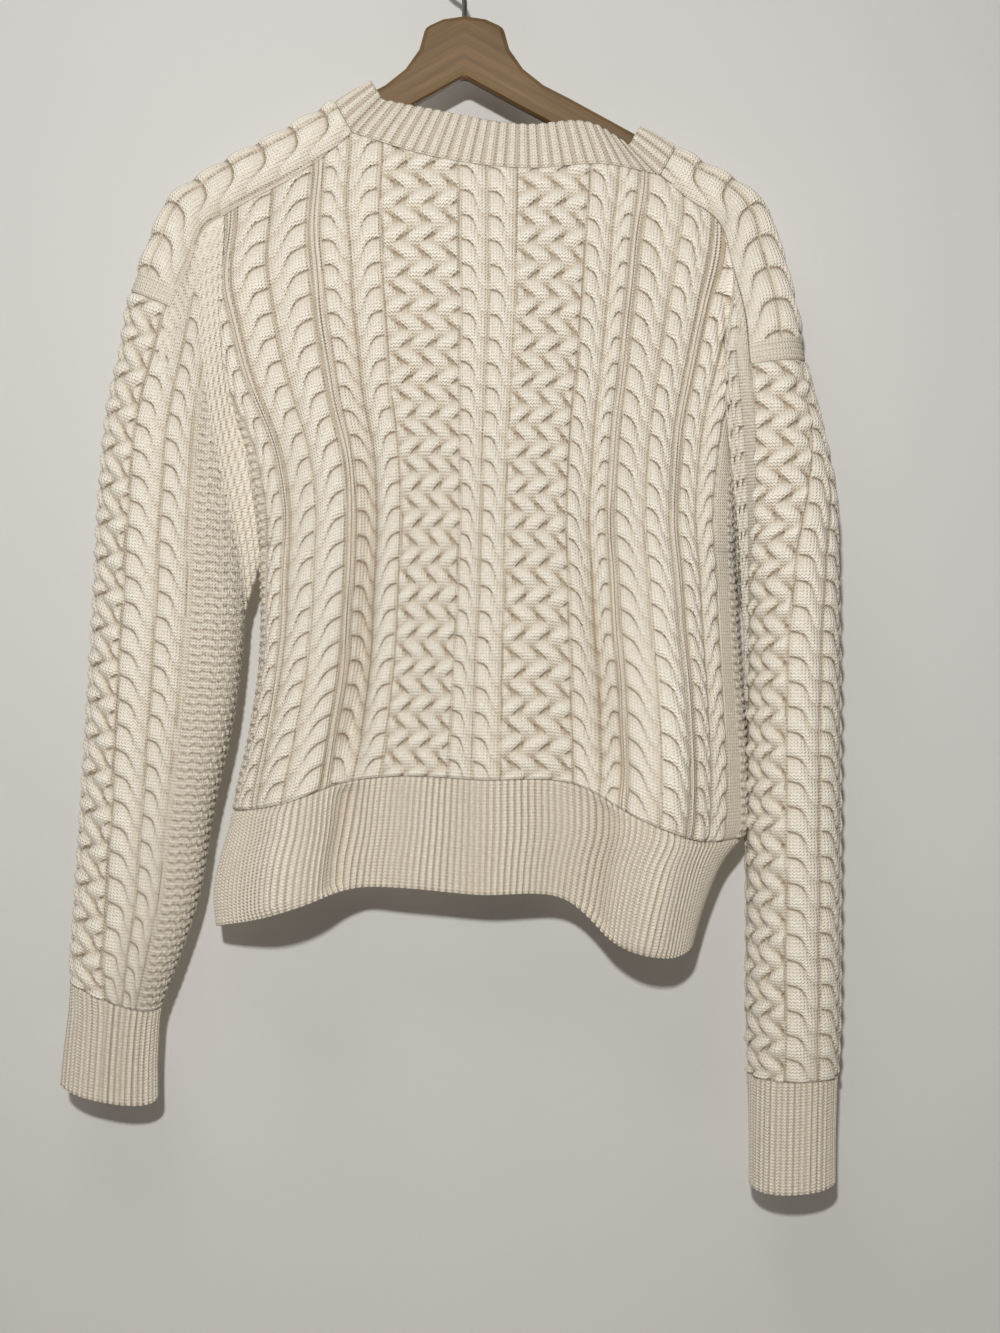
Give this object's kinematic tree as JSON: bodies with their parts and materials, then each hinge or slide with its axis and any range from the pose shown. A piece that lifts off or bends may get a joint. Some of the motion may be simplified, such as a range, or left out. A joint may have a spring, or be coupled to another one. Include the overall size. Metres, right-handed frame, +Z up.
{
  "type": "cable knit sweater on hanger",
  "caption": "Cream cable knit pullover with ribbed neckband, hem and cuffs and cabled shoulder straps, hanging from a level wooden hanger with a steel wire hook",
  "frame": {"origin": "inner top of the hook's bend, where it rests on a rail", "axes": "+Z up, +X to the right as the garment's back is seen, the back faces -Y and the front +Y"},
  "size_m": [0.5847, 0.113, 0.9569],
  "materials": {
    "knit": "matt cabled wool knit",
    "rib": "matt ribbed wool knit",
    "wood": "light brown wood, thinly lacquered",
    "steel": "plain dark steel wire"
  },
  "bodies": {
    "root": {"back_panel": "knit", "front_panel": "knit", "hem_back": "rib", "hem_front": "rib", "neckband": "rib", "strap_left": "knit", "strap_right": "knit", "sleeve_left": "knit", "sleeve_right": "knit", "cuff_left": "rib", "cuff_right": "rib", "hanger": "wood", "hook": "steel"}
  },
  "joints": []
}
